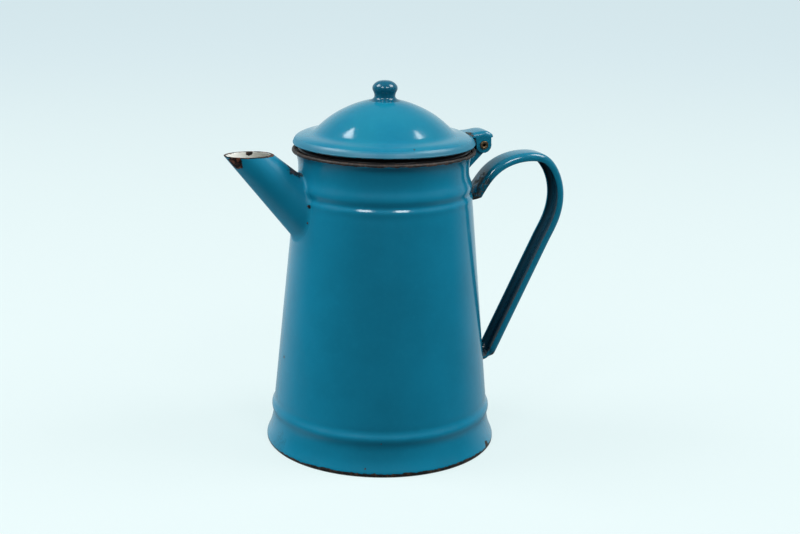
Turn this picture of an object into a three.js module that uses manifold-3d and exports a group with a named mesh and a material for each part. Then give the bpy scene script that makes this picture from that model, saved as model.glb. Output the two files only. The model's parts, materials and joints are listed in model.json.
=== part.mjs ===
// Coffee percolator in enamelled steel: a tapered pot with a spout, a strap handle and a hinged
// domed lid, and an aluminium pump with its basket standing loose inside.
//
// Millimetres, +Z up. The origin is on the pot's axis, on the plane that the pot stands on.
// The handle points along +X and the spout along -X. Outlines are lists of [radius, height] for
// turned pieces and of [x, z] for pieces in the plane of the spout and the handle.

import * as THREE from 'three';
import { mergeVertices } from 'three/addons/utils/BufferGeometryUtils.js';
import Module from 'manifold-3d';

const wasm = await Module();
wasm.setup();

// ---------------------------------------------------------------------------------------------
// Driving dimensions
// ---------------------------------------------------------------------------------------------

const SHEET = 1.2; // steel sheet with its enamel
const LID_SHEET = 1.0;
const PUMP_SHEET = 0.9; // aluminium sheet of the pump and basket
const GAP = 0.3; // clearance between pieces that touch
const LARGE = 40; // facets round a large turned piece
const SMALL = 20; // facets round a small turned piece
const MARGIN = 5; // how far a cutting solid runs past what it cuts

// Pot
const FOOT_RADIUS = 72;
const WAIST_RADIUS = 68;
const WAIST_HEIGHT = 17.5;
const CONE_RADIUS_AT_BASE = 69.55;
const CONE_TAPER = 0.0965; // radius lost per millimetre of height
const CONE_FROM = 26.8;
const CONE_TO = 157.2;
const NECK_RADIUS = 52.15;
const RIM_CENTRE = [54.6, 183.9];
const RIM_ROLL = 1.3; // radius of the rolled rim's section
const PAN_RADIUS = WAIST_RADIUS - SHEET - GAP;
const PAN_HEIGHT = 17;
const PAN_CORNER = 2.2;

// Spout: an oval tube on a slanted axis that leaves the wall at SPOUT_ROOT
const SPOUT_ROOT = [-54.7, 153.7];
const SPOUT_LEAN = 45.3; // degrees from vertical
const SPOUT_HEIGHT_AT_ROOT = 15.07; // half height of the oval
const SPOUT_HEIGHT_TAPER = 0.113;
const SPOUT_WIDTH_AT_ROOT = 18.9; // half width of the oval
const SPOUT_WIDTH_TAPER = 0.186;
const SPOUT_MOUTH_HEIGHT = 184;
const SPOUT_INSIDE = 16; // how far the cutting solid runs into the pot
const SPOUT_BEYOND = 62; // and how far it runs out past the mouth
const SPOUT_FACETS = 28;
const POUR_HOLE_MARGIN = 4; // ledge of wall left round the hole behind the spout

// Handle: a channel-section strap, open towards the hand's gap
const STRAP_WIDTH = 18;
const STRAP_DEPTH = 4.4;
const STRAP_CORNER = 3.4;
const STRAP_STEPS = 40;
const STRAP_FOOT = [74.5, 48.8]; // outer corner at the lower end
const STRAP_FOOT_DROP = 3.0; // fall of the foot tab towards the wall
const STRAP_FOOT_CORNER = 2.6; // size of the bend between the strap and its foot tab
const STRAP_ROOT_EDGE = [[45, 148.5], [64, 154]]; // line that trims the flanges at the upper root
const STRAP_BEND = [
  [53.8, 150.4],
  [59.9, 160.9],
  [69.2, 171.8],
  [80.2, 177.7],
  [92.4, 179.8],
  [104.9, 177.5],
  [114.0, 167.3],
  [118.2, 151.0],
  [115.8, 136.2],
  [109.7, 122.9],
];

// Lid
const DOME_LINE = [
  [0, 214.8],
  [10, 213.9],
  [21.3, 210.0],
  [32.9, 204.0],
  [40.0, 198.0],
  [43.4, 195.3],
];
const FLANGE_LINE = [
  [47.4, 194.2],
  [51.2, 193.3],
  [53.4, 192.0],
  [54.7, 190.3],
];
const LID_EDGE_CENTRE = [54.1, 188.9];
const LID_EDGE_ROLL = 1.3;
const KNOB_LINE = [
  [0, 226.0],
  [4.2, 225.5],
  [7.0, 223.4],
  [7.7, 221.4],
  [7.2, 219.6],
  [6.35, 218.2],
  [6.4, 216.6],
  [7.2, 215.2],
  [9.8, 214.1],
  [11.6, 213.5],
];
const KNOB_STEPS = 14;
const KNOB_BOTTOM = 211;
const COLLAR_RADIUS = 50.3;
const COLLAR_BOTTOM = 176.5;
const COLLAR_TOP = 191.4;
const COLLAR_BEAD_RADIUS = 52.9;
const COLLAR_BEAD_HEIGHT = 184.9;

// Lid hinge
const PIN = [61.5, 186];
const PIN_RADIUS = 1.5;
const PIN_BORE = 0.9;
const PIN_HEAD_RADIUS = 2.3;
const PIN_HEAD = 0.6;
const PIN_HOLE = PIN_RADIUS + 0.35;
const EAR_RADIUS = 5;
const TAB_WIDTH = 18;
const BRACKET_WIDTH = TAB_WIDTH - 2 * (SHEET + GAP);
const KNUCKLE_RADIUS = 3.8;
const BRACKET_TIP = [52.4, 171.2];
const BRACKET_ROOT = 48.4; // x inside the neck, from where the bracket is trimmed to the wall
const BRACKET_TOP = [[57.2, 182.6], [BRACKET_ROOT, 181.4]];
const TAB_TOP = [
  [49.0, 194.7],
  [57.4, 194.4],
  [62.0, 194.5],
  [65.0, 193.9],
  [68.2, 191.9],
];

// Pump and basket
const BELL_RADIUS = 45;
const BELL_FOOT = SHEET + GAP;
const BELL_HUB_TOP = 27;
const BELL_NOTCHES = 4;
const BELL_NOTCH_RADIUS = 3.2;
const BELL_NOTCH_LENGTH = 20;
const TUBE_RADIUS = 4.5;
const TUBE_BORE = 3.5;
const TUBE_BOTTOM = 10.5;
const TUBE_TOP = 186;
const CAGE_RADIUS = 7.3;
const CAGE_BOTTOM = 5;
const CAGE_TOP = 17;
const VALVE_RADIUS = 5.6;
const VALVE_THICKNESS = 0.8;
const STOP_RING_BOTTOM = 112;
const STOP_RING_HEIGHT = 3;
const STOP_RING_RADIUS = 7.8;
const BASKET_RADIUS = 40;
const BASKET_FLOOR = 117;
const BASKET_TOP = 168;
const SLEEVE_RADIUS = 5.8;
const SLEEVE_FLANGE = 10;
const SPREADER_RADIUS = BASKET_RADIUS + GAP + PUMP_SHEET + 0.8;
const SPREADER_SKIRT = 3.5;
const SPREADER_DISH = BASKET_TOP + 0.3; // height of the dished middle's upper face
const SPREADER_HOLE = 9;
const SPREADER_COLLAR_BORE = 7.2;
const SPREADER_COLLAR_FLANGE = 11.5;
const SPREADER_COLLAR_TOP = 173.9;
const DRAIN_HOLE = 1.6;
const BASKET_HOLES = [[16, 8], [28, 14]]; // radius of each circle of holes, and their number
const SPREADER_HOLES = [[15, 8], [26, 12]];

// ---------------------------------------------------------------------------------------------
// Outlines
// ---------------------------------------------------------------------------------------------

// Points on an arc about a centre, from one angle to another, in degrees.
function arc(centre, radius, from, to, steps) {
  const points = [];
  for (let i = 0; i <= steps; i += 1) {
    const angle = THREE.MathUtils.degToRad(from + ((to - from) * i) / steps);
    points.push([centre[0] + radius * Math.cos(angle), centre[1] + radius * Math.sin(angle)]);
  }
  return points;
}

// A smooth curve through the given points.
function curveThrough(points, steps) {
  const curve = new THREE.SplineCurve(points.map(([x, y]) => new THREE.Vector2(x, y)));
  return curve.getPoints(steps).map((point) => [point.x, point.y]);
}

// The same line moved to its left by a distance, with mitred corners.
function offset(line, distance) {
  return line.map((point, i) => {
    const before = line[Math.max(i - 1, 0)];
    const after = line[Math.min(i + 1, line.length - 1)];
    const into = i === 0 ? direction(point, after) : direction(before, point);
    const out = i === line.length - 1 ? into : direction(point, after);
    const mitre = 1 + into[0] * out[0] + into[1] * out[1];
    const left = [-(into[1] + out[1]) / mitre, (into[0] + out[0]) / mitre];
    return [point[0] + distance * left[0], point[1] + distance * left[1]];
  });
}

function direction(from, to) {
  const length = Math.hypot(to[0] - from[0], to[1] - from[1]);
  return [(to[0] - from[0]) / length, (to[1] - from[1]) / length];
}

// ---------------------------------------------------------------------------------------------
// Solids
// ---------------------------------------------------------------------------------------------

// Turns every face of a closed geometry outwards.
function facingOut(geometry) {
  const { position } = geometry.attributes;
  const index = geometry.index.array;
  const [a, b, c] = [new THREE.Vector3(), new THREE.Vector3(), new THREE.Vector3()];
  let volume = 0;
  for (let i = 0; i < index.length; i += 3) {
    a.fromBufferAttribute(position, index[i]);
    b.fromBufferAttribute(position, index[i + 1]);
    c.fromBufferAttribute(position, index[i + 2]);
    volume += a.dot(b.cross(c));
  }
  if (volume < 0) {
    for (let i = 0; i < index.length; i += 3) {
      [index[i], index[i + 1]] = [index[i + 1], index[i]];
    }
  }
  return geometry;
}

// Merges shared corners and drops the empty triangles at a turned piece's poles.
function welded(geometry) {
  const bare = geometry.clone();
  bare.deleteAttribute('normal');
  bare.deleteAttribute('uv');
  const merged = mergeVertices(bare, 1e-4);
  const kept = [];
  const index = merged.index.array;
  for (let i = 0; i < index.length; i += 3) {
    const [a, b, c] = [index[i], index[i + 1], index[i + 2]];
    if (a !== b && b !== c && c !== a) {
      kept.push(a, b, c);
    }
  }
  merged.setIndex(kept);
  return facingOut(merged);
}

function toManifold(geometry) {
  const mesh = welded(geometry);
  return new wasm.Manifold(
    new wasm.Mesh({
      numProp: 3,
      vertProperties: new Float32Array(mesh.attributes.position.array),
      triVerts: new Uint32Array(mesh.index.array),
    }),
  );
}

function toGeometry(manifold) {
  const mesh = manifold.getMesh();
  const geometry = new THREE.BufferGeometry();
  geometry.setAttribute('position', new THREE.BufferAttribute(mesh.vertProperties, 3));
  geometry.setIndex(new THREE.BufferAttribute(mesh.triVerts, 1));
  return geometry;
}

function cut(geometry, ...cutters) {
  return toGeometry(
    cutters.reduce((body, cutter) => body.subtract(toManifold(cutter)), toManifold(geometry)),
  );
}

function join(geometry, ...others) {
  return toGeometry(
    others.reduce((body, other) => body.add(toManifold(other)), toManifold(geometry)),
  );
}

// A turned piece from its outline, which is open on the axis or closed on itself.
function turned(outline, facets) {
  const first = outline[0];
  const last = outline[outline.length - 1];
  const onAxis = first[0] === 0 && last[0] === 0;
  const closed = onAxis ? outline : [...outline, first];
  const points = closed.map(([radius, height]) => new THREE.Vector2(radius, height));
  const geometry = new THREE.LatheGeometry(points, facets);
  geometry.rotateX(Math.PI / 2);
  return welded(geometry);
}

// A flat outline in x and z, given a width across y and centred on y = 0.
function plate(outline, width) {
  const shape = new THREE.Shape(outline.map(([x, z]) => new THREE.Vector2(x, z)));
  const geometry = new THREE.ExtrudeGeometry(shape, { depth: width, bevelEnabled: false });
  geometry.rotateX(Math.PI / 2);
  geometry.translate(0, width / 2, 0);
  return welded(geometry);
}

// A plain rod: upright at [x, y] from one height to another.
function uprightRod(x, y, radius, bottom, top, facets) {
  const geometry = new THREE.CylinderGeometry(radius, radius, top - bottom, facets);
  geometry.rotateX(Math.PI / 2);
  geometry.translate(x, y, (bottom + top) / 2);
  return geometry;
}

// A rod along y through the hinge's axis.
function hingeRod(radius, length) {
  const geometry = new THREE.CylinderGeometry(radius, radius, length, SMALL);
  geometry.translate(PIN[0], 0, PIN[1]);
  return geometry;
}

// Small drain holes on circles about the axis, through everything between two heights.
function drainHoles(circles, bottom, top) {
  const holes = [];
  for (const [radius, count] of circles) {
    for (let i = 0; i < count; i += 1) {
      const angle = (2 * Math.PI * i) / count;
      const x = radius * Math.cos(angle);
      const y = radius * Math.sin(angle);
      holes.push(uprightRod(x, y, DRAIN_HOLE, bottom, top, 6));
    }
  }
  return holes;
}

// ---------------------------------------------------------------------------------------------
// Pot
// ---------------------------------------------------------------------------------------------

const coneRadius = (height) => CONE_RADIUS_AT_BASE - CONE_TAPER * height;

// Outside of the pot from the foot's curled edge up to the root of the rolled rim.
const POT_LINE = [
  [FOOT_RADIUS - 1.1, 0],
  [FOOT_RADIUS, 1.2],
  [FOOT_RADIUS, 2.6],
  [71.0, 4.6],
  [69.3, 9.0],
  [68.4, 13.5],
  [WAIST_RADIUS, WAIST_HEIGHT],
  [68.7, 21.8],
  [68.3, 24.2],
  [coneRadius(CONE_FROM), CONE_FROM],
  [coneRadius(CONE_TO), CONE_TO],
  [53.35, 158.9],
  [54.05, 162.4],
  [53.8, 165.0],
  [52.5, 168.2],
  [NECK_RADIUS, 171.5],
  [NECK_RADIUS, 176],
  [52.9, 180.2],
  [53.9, 182.3],
];

// The pot's outside as one solid, grown by the clearance, to trim what is welded to it.
function potEnvelope() {
  const grown = offset([...POT_LINE, ...arc(RIM_CENTRE, RIM_ROLL, -80, 90, 4)], -GAP);
  const top = RIM_CENTRE[1] + RIM_ROLL + GAP;
  return turned([[0, -MARGIN], [grown[0][0], -MARGIN], ...grown, [0, top]], LARGE);
}

function potWall() {
  const rim = arc(RIM_CENTRE, RIM_ROLL, -80, 170, 6);
  const inside = offset(POT_LINE, SHEET).reverse();
  inside[inside.length - 1] = [FOOT_RADIUS - 1.1 - SHEET, 0];
  const shell = turned([...POT_LINE, ...rim, ...inside], LARGE);
  return cut(shell, spoutLoft(POUR_HOLE_MARGIN + SHEET, SPOUT_ROOT_SPAN));
}

function bottomPan() {
  const corner = arc([PAN_RADIUS - PAN_CORNER, PAN_CORNER], PAN_CORNER, -90, 0, 3);
  const outside = [[0, 0], ...corner, [PAN_RADIUS, PAN_HEIGHT]];
  const inside = offset(outside, SHEET).reverse();
  inside[inside.length - 1] = [0, SHEET];
  return turned([...outside, ...inside], LARGE);
}

// ---------------------------------------------------------------------------------------------
// Spout
// ---------------------------------------------------------------------------------------------

const SPOUT_FULL_SPAN = [-SPOUT_INSIDE, SPOUT_BEYOND];
const SPOUT_ROOT_SPAN = [-SPOUT_INSIDE, SPOUT_INSIDE];

// The spout's tapering oval, thinner all round by an inset, along a span of its axis.
function spoutLoft(inset, [start, end]) {
  const geometry = new THREE.CylinderGeometry(1, 1, 1, SPOUT_FACETS);
  const { position } = geometry.attributes;
  for (let i = 0; i < position.count; i += 1) {
    const along = start + (position.getY(i) + 0.5) * (end - start);
    const halfWidth = SPOUT_WIDTH_AT_ROOT - SPOUT_WIDTH_TAPER * along - inset;
    const halfHeight = SPOUT_HEIGHT_AT_ROOT - SPOUT_HEIGHT_TAPER * along - inset;
    position.setXYZ(i, position.getX(i) * halfWidth, along, position.getZ(i) * halfHeight);
  }
  const lean = THREE.MathUtils.degToRad(SPOUT_LEAN);
  const across = new THREE.Vector3(0, 1, 0);
  const outward = new THREE.Vector3(-Math.sin(lean), 0, Math.cos(lean));
  const upper = new THREE.Vector3().crossVectors(across, outward);
  const placing = new THREE.Matrix4().makeBasis(across, outward, upper);
  placing.setPosition(SPOUT_ROOT[0], 0, SPOUT_ROOT[1]);
  return welded(geometry.applyMatrix4(placing));
}

function spout() {
  const above = new THREE.BoxGeometry(90, 60, 60);
  above.translate(-90, 0, SPOUT_MOUTH_HEIGHT + 30);
  const [start, end] = SPOUT_FULL_SPAN;
  const bore = spoutLoft(SHEET, [start - 1, end + 1]);
  return cut(spoutLoft(0, SPOUT_FULL_SPAN), bore, above, potEnvelope());
}

// ---------------------------------------------------------------------------------------------
// Handle
// ---------------------------------------------------------------------------------------------

// Section of the strap: x across its width, y from its outer face towards the hand's gap.
function strapSection() {
  const half = STRAP_WIDTH / 2;
  const corner = STRAP_CORNER;
  const inner = STRAP_CORNER - SHEET;
  const outline = [
    [-half, STRAP_DEPTH],
    ...arc([-half + corner, corner], corner, 180, 270, 3),
    ...arc([half - corner, corner], corner, 270, 360, 3),
    [half, STRAP_DEPTH],
    [half - SHEET, STRAP_DEPTH],
    ...arc([half - corner, corner], inner, 0, -90, 2),
    ...arc([-half + corner, corner], inner, -90, -180, 2),
    [-half + SHEET, STRAP_DEPTH],
  ];
  return new THREE.Shape(outline.map(([x, y]) => new THREE.Vector2(x, y)));
}

// Outer face of the strap, from its upper root over the top and straight down to its foot.
function strapPath() {
  const at = ([x, z]) => new THREE.Vector3(x, 0, z);
  const bend = new THREE.CatmullRomCurve3(STRAP_BEND.map(at));
  const path = new THREE.CurvePath();
  path.add(bend);
  path.add(new THREE.LineCurve3(at(STRAP_BEND[STRAP_BEND.length - 1]), at(STRAP_FOOT)));
  return path;
}

// The channel, and a flat foot tab that turns in from its lower end to the wall.
function handleStrap() {
  const channel = new THREE.ExtrudeGeometry(strapSection(), {
    steps: STRAP_STEPS,
    bevelEnabled: false,
    extrudePath: strapPath(),
  });
  const [footX, footZ] = STRAP_FOOT;
  const half = SHEET / 2;
  const wallX = coneRadius(footZ) - 2;
  const foot = plate(
    [
      [footX, footZ + SHEET],
      [footX - half, footZ - half],
      [wallX, footZ - half - STRAP_FOOT_DROP],
      [wallX, footZ + half - STRAP_FOOT_DROP],
      [footX - STRAP_FOOT_CORNER, footZ + half],
      [footX - SHEET, footZ + STRAP_FOOT_CORNER],
    ],
    STRAP_WIDTH - 2,
  );
  const [[rootX, rootZ], [endX, endZ]] = STRAP_ROOT_EDGE;
  const belowRoot = [[rootX, rootZ], [endX, endZ], [endX, endZ - 20], [rootX, rootZ - 20]];
  return cut(join(channel, foot), potEnvelope(), plate(belowRoot, STRAP_WIDTH + MARGIN));
}

// ---------------------------------------------------------------------------------------------
// Lid
// ---------------------------------------------------------------------------------------------

// Outside of the lid from its crown, over the dome and the flange, to the rolled edge.
const LID_LINE = [
  ...curveThrough(DOME_LINE, 8),
  ...FLANGE_LINE,
];

function lidEnvelope() {
  const edge = arc(LID_EDGE_CENTRE, LID_EDGE_ROLL, 25, -90, 4);
  const grown = offset([...LID_LINE, ...edge], GAP);
  grown[0] = [0, DOME_LINE[0][1] + GAP];
  return turned([...grown, [0, LID_EDGE_CENTRE[1] - LID_EDGE_ROLL - GAP]], LARGE);
}

function lidShell() {
  const edge = arc(LID_EDGE_CENTRE, LID_EDGE_ROLL, 25, -150, 5);
  const inside = offset(LID_LINE, -LID_SHEET).reverse();
  inside[inside.length - 1] = [0, DOME_LINE[0][1] - LID_SHEET];
  return turned([...LID_LINE, ...edge, ...inside], LARGE);
}

// A small mushroom knob on a waisted stem, whose foot spreads onto the crown of the dome.
function lidKnob() {
  const head = curveThrough(KNOB_LINE, KNOB_STEPS);
  head[0] = KNOB_LINE[0];
  const footRadius = KNOB_LINE[KNOB_LINE.length - 1][0];
  const outline = [...head, [footRadius, KNOB_BOTTOM], [0, KNOB_BOTTOM]];
  return cut(turned(outline, SMALL), lidEnvelope());
}

// Ring under the lid: it drops inside the neck, and its bead sits on the pot's rim.
function lidCollar() {
  const outside = [
    [COLLAR_RADIUS, COLLAR_TOP],
    [COLLAR_RADIUS, COLLAR_BEAD_HEIGHT + 2],
    [COLLAR_BEAD_RADIUS, COLLAR_BEAD_HEIGHT],
    [COLLAR_RADIUS, COLLAR_BEAD_HEIGHT - 2],
    [COLLAR_RADIUS, COLLAR_BOTTOM],
  ];
  return turned([...outside, ...offset(outside, -LID_SHEET).reverse()], LARGE);
}

// ---------------------------------------------------------------------------------------------
// Lid hinge
// ---------------------------------------------------------------------------------------------

// Lid half: a plate that runs off the flange past the pin, with a round ear down each side.
function lidHingeTab() {
  const top = curveThrough(TAB_TOP, 10);
  const [pinX, pinZ] = PIN;
  const outline = [
    ...top,
    [pinX + EAR_RADIUS - 0.4, pinZ + 5.2],
    ...arc(PIN, EAR_RADIUS, 10, -190, 10),
    [pinX - EAR_RADIUS - 0.6, pinZ + 4.4],
    [50, pinZ + 4.4],
  ];
  const floor = offset(top, -SHEET);
  const between = [[40, floor[0][1]], ...floor, [80, floor[floor.length - 1][1]], [80, 170], [40, 170]];
  return cut(
    plate(outline, TAB_WIDTH),
    plate(between, TAB_WIDTH - 2 * SHEET),
    hingeRod(PIN_HOLE, TAB_WIDTH + 4),
    lidEnvelope(),
  );
}

// Side outline of the pot's bracket: a gusset whose lower edge wraps the pin as a knuckle.
function bracketSide(inset) {
  const [tipX, tipZ] = BRACKET_TIP;
  const reach = Math.hypot(PIN[0] - tipX, PIN[1] - tipZ);
  const slope = Math.atan2(PIN[1] - tipZ, PIN[0] - tipX) - Math.asin(KNUCKLE_RADIUS / reach);
  const tangent = THREE.MathUtils.radToDeg(slope) - 90;
  const shift = inset * Math.SQRT2;
  return [
    [BRACKET_ROOT, tipZ + shift - (tipX - BRACKET_ROOT) * Math.tan(slope)],
    ...arc(PIN, KNUCKLE_RADIUS - inset, tangent, 200, 10),
    ...BRACKET_TOP.map(([x, z]) => [x, z + inset]),
  ];
}

function hingeBracket() {
  return cut(
    plate(bracketSide(0), BRACKET_WIDTH),
    plate(bracketSide(SHEET), BRACKET_WIDTH - 2 * SHEET),
    hingeRod(PIN_HOLE, TAB_WIDTH + 4),
    potEnvelope(),
  );
}

// Tubular rivet: a hollow shank with a flared head at each end.
function hingePin() {
  const head = TAB_WIDTH / 2 + GAP;
  const end = head + PIN_HEAD;
  const outline = [
    [PIN_BORE, -end],
    [PIN_HEAD_RADIUS - 0.3, -end],
    [PIN_HEAD_RADIUS, -head],
    [PIN_RADIUS, -head],
    [PIN_RADIUS, head],
    [PIN_HEAD_RADIUS, head],
    [PIN_HEAD_RADIUS - 0.3, end],
    [PIN_BORE, end],
  ];
  const geometry = turned(outline, SMALL);
  geometry.rotateX(Math.PI / 2);
  geometry.translate(PIN[0], 0, PIN[1]);
  return geometry;
}

// ---------------------------------------------------------------------------------------------
// Pump
// ---------------------------------------------------------------------------------------------

// Bell that stands on the pot's bottom, notched round its foot, with a hub for the tube.
function pumpBase() {
  const hub = TUBE_RADIUS + GAP + PUMP_SHEET;
  const outside = [
    [BELL_RADIUS, BELL_FOOT],
    [BELL_RADIUS - 0.6, 5.5],
    [BELL_RADIUS - 4, 9.2],
    [28, 13.6],
    [hub + 4, 18.6],
    [hub, 21],
    [hub, BELL_HUB_TOP],
  ];
  const inside = offset(outside, PUMP_SHEET).reverse();
  inside[inside.length - 1] = [BELL_RADIUS - PUMP_SHEET, BELL_FOOT];
  const notches = [];
  for (let i = 0; i < BELL_NOTCHES; i += 1) {
    const notch = uprightRod(0, 0, BELL_NOTCH_RADIUS, -BELL_NOTCH_LENGTH / 2, BELL_NOTCH_LENGTH / 2, 12);
    notch.rotateY(Math.PI / 2);
    notch.translate(BELL_RADIUS, 0, BELL_FOOT);
    notch.rotateZ((Math.PI * (2 * i + 1)) / BELL_NOTCHES);
    notches.push(notch);
  }
  return cut(turned([...outside, ...inside], LARGE), ...notches);
}

function ring(outer, inner, bottom, top) {
  return turned([[inner, bottom], [outer, bottom], [outer, top], [inner, top]], SMALL);
}

// Cup hung in the bell's throat: the valve disc lies on the seat round its central hole.
function valveCage() {
  const wall = CAGE_RADIUS - PUMP_SHEET;
  const seat = 2.6;
  return turned(
    [
      [seat, CAGE_BOTTOM],
      [CAGE_RADIUS, CAGE_BOTTOM],
      [CAGE_RADIUS, CAGE_TOP],
      [wall, CAGE_TOP],
      [wall, CAGE_BOTTOM + 1],
      [seat, CAGE_BOTTOM + 1],
    ],
    SMALL,
  );
}

function pumpValve() {
  const bottom = CAGE_BOTTOM + 1 + GAP;
  return uprightRod(0, 0, VALVE_RADIUS, bottom, bottom + VALVE_THICKNESS, SMALL);
}

// ---------------------------------------------------------------------------------------------
// Basket
// ---------------------------------------------------------------------------------------------

// Cup for the grounds, with a beaded rim and drain holes in its floor.
function basket() {
  const bore = SLEEVE_RADIUS + GAP;
  const inside = BASKET_RADIUS - PUMP_SHEET;
  const cup = turned(
    [
      [bore, BASKET_FLOOR],
      [BASKET_RADIUS - 2.5, BASKET_FLOOR],
      [BASKET_RADIUS - 0.6, BASKET_FLOOR + 1.9],
      [BASKET_RADIUS, BASKET_TOP],
      [inside, BASKET_TOP],
      [inside - 0.6, BASKET_FLOOR + 2.3],
      [inside - 2.0, BASKET_FLOOR + PUMP_SHEET],
      [bore, BASKET_FLOOR + PUMP_SHEET],
    ],
    LARGE,
  );
  return cut(cup, ...drainHoles(BASKET_HOLES, BASKET_FLOOR - 1, BASKET_FLOOR + 3));
}

// Tube through the basket that slips over the pump's tube, with a flange under the floor.
function basketSleeve() {
  const bottom = STOP_RING_BOTTOM + STOP_RING_HEIGHT + GAP;
  const bore = TUBE_RADIUS + GAP;
  return turned(
    [
      [bore, bottom],
      [SLEEVE_FLANGE, bottom],
      [SLEEVE_FLANGE, BASKET_FLOOR - GAP],
      [SLEEVE_RADIUS, BASKET_FLOOR - GAP],
      [SLEEVE_RADIUS, BASKET_TOP - 2],
      [bore, BASKET_TOP - 2],
    ],
    SMALL,
  );
}

// Perforated cover that drops over the basket and spreads the water, dished to its middle.
function spreader() {
  const top = BASKET_TOP + GAP + PUMP_SHEET;
  const outside = [
    [SPREADER_RADIUS, BASKET_TOP - SPREADER_SKIRT],
    [SPREADER_RADIUS, top],
    [BASKET_RADIUS - 3, top],
    [BASKET_RADIUS - 6, SPREADER_DISH],
    [SPREADER_HOLE, SPREADER_DISH],
  ];
  const cover = turned([...outside, ...offset(outside, PUMP_SHEET).reverse()], LARGE);
  return cut(cover, ...drainHoles(SPREADER_HOLES, BASKET_TOP - 2, BASKET_TOP + 3));
}

// Flanged collar on the cover that guides it round the pump's tube.
function spreaderCollar() {
  const bottom = SPREADER_DISH + GAP;
  const neck = SPREADER_COLLAR_BORE + PUMP_SHEET;
  return turned(
    [
      [SPREADER_COLLAR_BORE, bottom],
      [SPREADER_COLLAR_FLANGE, bottom],
      [SPREADER_COLLAR_FLANGE, bottom + PUMP_SHEET],
      [neck, bottom + PUMP_SHEET],
      [neck, SPREADER_COLLAR_TOP],
      [SPREADER_COLLAR_BORE, SPREADER_COLLAR_TOP],
    ],
    SMALL,
  );
}

// ---------------------------------------------------------------------------------------------
// Assembly
// ---------------------------------------------------------------------------------------------

const enamel = { color: 0x1f7488, roughness: 0.18, metalness: 0 };
const lidEnamel = { color: 0x2f96b4, roughness: 0.16, metalness: 0 };
const edgeEnamel = { color: 0x17181a, roughness: 0.45, metalness: 0 };
const aluminium = { color: 0xb9bcbf, roughness: 0.4, metalness: 1 };
const brass = { color: 0xa07838, roughness: 0.4, metalness: 1 };
const steel = { color: 0x9a9c9e, roughness: 0.35, metalness: 1 };

function piece(name, geometry, finish) {
  const mesh = new THREE.Mesh(geometry, new THREE.MeshStandardMaterial(finish));
  mesh.name = name;
  return mesh;
}

const pot = new THREE.Group();
pot.add(piece('pot_wall', potWall(), enamel));
pot.add(piece('bottom_pan', bottomPan(), enamel));
pot.add(piece('spout', spout(), enamel));
pot.add(piece('handle_strap', handleStrap(), enamel));
pot.add(piece('hinge_bracket', hingeBracket(), enamel));
pot.add(piece('hinge_pin', hingePin(), brass));

const lid = new THREE.Group();
lid.add(piece('lid_shell', lidShell(), lidEnamel));
lid.add(piece('lid_knob', lidKnob(), lidEnamel));
lid.add(piece('lid_collar', lidCollar(), edgeEnamel));
lid.add(piece('lid_hinge_tab', lidHingeTab(), enamel));

const pump = new THREE.Group();
const stopRingTop = STOP_RING_BOTTOM + STOP_RING_HEIGHT;
pump.add(piece('pump_base', pumpBase(), aluminium));
pump.add(piece('pump_tube', ring(TUBE_RADIUS, TUBE_BORE, TUBE_BOTTOM, TUBE_TOP), aluminium));
pump.add(
  piece('stop_ring', ring(STOP_RING_RADIUS, TUBE_RADIUS + GAP, STOP_RING_BOTTOM, stopRingTop), aluminium),
);
pump.add(piece('valve_cage', valveCage(), aluminium));
pump.add(piece('pump_valve', pumpValve(), steel));

const basketGroup = new THREE.Group();
basketGroup.add(piece('basket', basket(), aluminium));
basketGroup.add(piece('basket_sleeve', basketSleeve(), aluminium));
basketGroup.add(piece('spreader', spreader(), aluminium));
basketGroup.add(piece('spreader_collar', spreaderCollar(), aluminium));

const group = new THREE.Group();
group.add(pot, lid, pump, basketGroup);

export default group;
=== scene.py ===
import json
import math

import bmesh
import bpy
import numpy as np
from mathutils import Matrix, Vector


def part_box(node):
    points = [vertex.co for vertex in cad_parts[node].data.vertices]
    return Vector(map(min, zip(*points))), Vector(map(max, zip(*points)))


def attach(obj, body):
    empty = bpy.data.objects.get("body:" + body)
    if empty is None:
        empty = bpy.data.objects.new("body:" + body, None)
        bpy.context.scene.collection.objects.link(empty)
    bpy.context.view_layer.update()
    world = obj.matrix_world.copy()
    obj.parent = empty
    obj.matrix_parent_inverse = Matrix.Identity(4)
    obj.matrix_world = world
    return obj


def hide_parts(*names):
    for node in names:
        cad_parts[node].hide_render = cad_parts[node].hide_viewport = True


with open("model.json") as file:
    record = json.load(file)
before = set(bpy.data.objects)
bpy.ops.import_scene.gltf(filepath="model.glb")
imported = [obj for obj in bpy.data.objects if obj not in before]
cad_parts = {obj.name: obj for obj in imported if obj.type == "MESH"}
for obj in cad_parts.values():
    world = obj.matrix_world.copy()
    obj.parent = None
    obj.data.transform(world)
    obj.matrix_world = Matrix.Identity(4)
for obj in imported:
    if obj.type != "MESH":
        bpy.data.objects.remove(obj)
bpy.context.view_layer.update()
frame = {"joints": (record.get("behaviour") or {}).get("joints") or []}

# Enamelled coffee percolator. Outlines are in millimetres of the row frame: [radius, height] for
# turned pieces and [x, z] for pieces in the plane of the spout (-X) and the handle (+X).

MM = 0.001
FACETS = 256
INSERT_FACETS = 192
SMALL_FACETS = 96
CUTTER_FACETS = 128
KNOB_FACETS = 128
SHEET = 1.2
LID_SHEET = 1.0
PUMP_SHEET = 0.9


def span(node):
    """Lowest and highest corner of a CAD node in millimetres."""
    low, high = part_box(node)
    return Vector(low) / MM, Vector(high) / MM


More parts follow.
